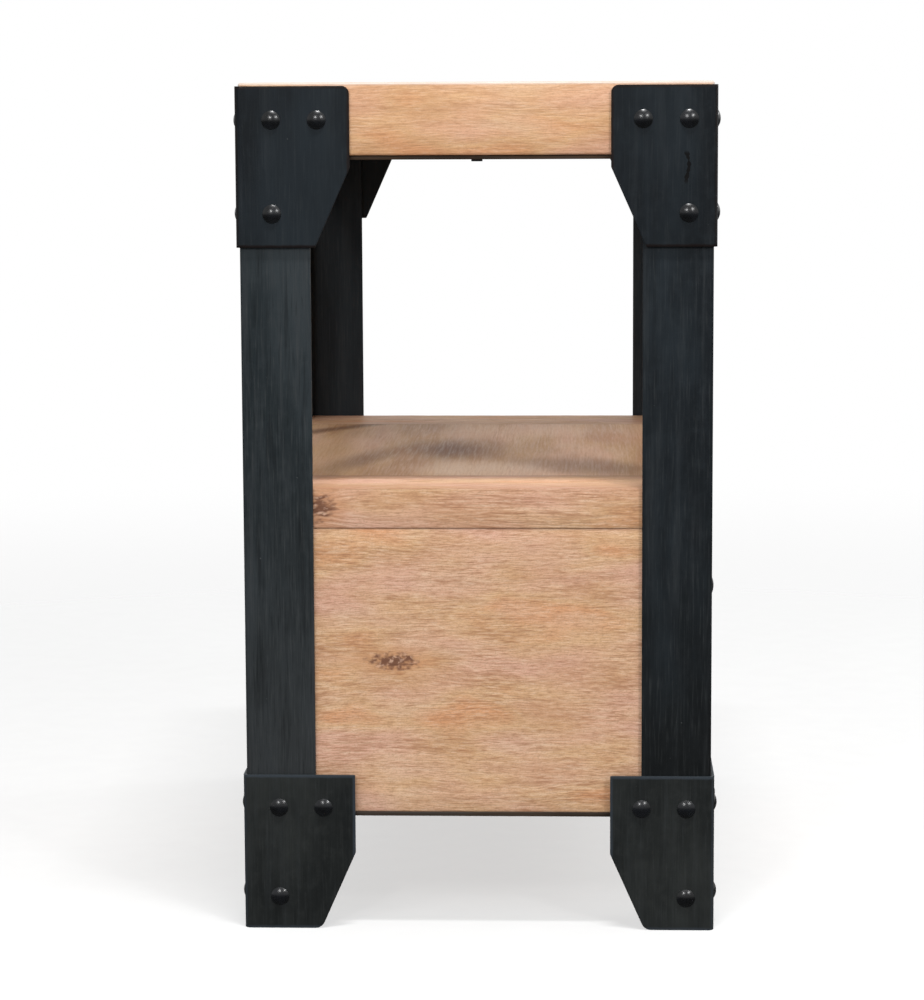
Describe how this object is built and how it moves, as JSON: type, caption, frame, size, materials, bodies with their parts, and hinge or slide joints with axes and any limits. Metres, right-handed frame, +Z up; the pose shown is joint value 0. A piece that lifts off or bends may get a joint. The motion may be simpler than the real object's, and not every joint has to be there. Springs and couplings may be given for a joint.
{
  "type": "side table with drawer",
  "caption": "Small rectangular side table: thick wooden top, open compartment and a drawer box in a frame of black angle steel with riveted corner brackets.",
  "frame": {"origin": "on the floor, under the centre of the tabletop", "axes": "+Z up, +X along the table from the left end to the right end, -Y is the side that the drawer opens to"},
  "size_m": [0.4284, 0.2884, 0.5],
  "materials": {
    "wood": "satin oiled, fine wavy grain",
    "plywood": "plain sanded",
    "dowel_wood": "plain",
    "frame_steel": "satin charcoal powder coat with fine vertical brushing",
    "black_hardware": "glossy black",
    "zinc": "zinc plated"
  },
  "bodies": {
    "table": {"tabletop": "wood", "tabletop_end_left": "wood", "tabletop_end_right": "wood", "shelf": "wood", "shelf_end_left": "wood", "shelf_end_right": "wood", "end_panel_left": "wood", "end_panel_right": "wood", "bottom_board": "wood", "back_panel": "wood", "leg_front_left": "frame_steel", "leg_front_right": "frame_steel", "leg_back_left": "frame_steel", "leg_back_right": "frame_steel", "top_bracket_front_left": "frame_steel", "top_bracket_front_right": "frame_steel", "top_bracket_back_left": "frame_steel", "top_bracket_back_right": "frame_steel", "foot_bracket_front_left": "frame_steel", "foot_bracket_front_right": "frame_steel", "foot_bracket_back_left": "frame_steel", "foot_bracket_back_right": "frame_steel", "bracket_nails": "black_hardware", "bracket_rivets": "black_hardware", "top_strap_left": "frame_steel", "top_strap_right": "frame_steel", "top_strap_front": "frame_steel", "top_strap_back": "frame_steel", "box_strap_left": "frame_steel", "box_strap_right": "frame_steel", "box_strap_front": "frame_steel", "box_strap_back": "frame_steel", "tabletop_screws": "black_hardware", "box_screws": "black_hardware", "box_dowels": "dowel_wood", "packer_left": "wood", "packer_right": "wood", "packer_screws": "zinc", "slide_channel_left": "zinc", "slide_channel_right": "zinc", "slide_channel_screws": "zinc"},
    "drawer": {"slide_rail_left": "zinc", "slide_rail_right": "zinc", "slide_rail_screws": "zinc", "drawer_front": "wood", "drawer_side_left": "wood", "drawer_side_right": "wood", "drawer_back": "wood", "drawer_bottom": "plywood", "drawer_dowels": "dowel_wood", "knob": "black_hardware", "knob_screw": "zinc"},
    "ball_cage_left": {"slide_cage_left": "zinc", "slide_balls_left": "zinc"},
    "ball_cage_right": {"slide_cage_right": "zinc", "slide_balls_right": "zinc"}
  },
  "joints": [
    {"name": "drawer_slide", "type": "slide", "parent": "table", "child": "drawer", "axis": [0, -1, 0], "range_m": [0, 0.15]},
    {"name": "ball_cage_left_slide", "type": "slide", "parent": "table", "child": "ball_cage_left", "axis": [0, -1, 0], "range_m": [0, 0.075]},
    {"name": "ball_cage_right_slide", "type": "slide", "parent": "table", "child": "ball_cage_right", "axis": [0, -1, 0], "range_m": [0, 0.075]}
  ],
  "couplings": [
    {"joint": "ball_cage_left_slide", "follows": "drawer_slide", "ratio": 0.5},
    {"joint": "ball_cage_right_slide", "follows": "drawer_slide", "ratio": 0.5}
  ]
}
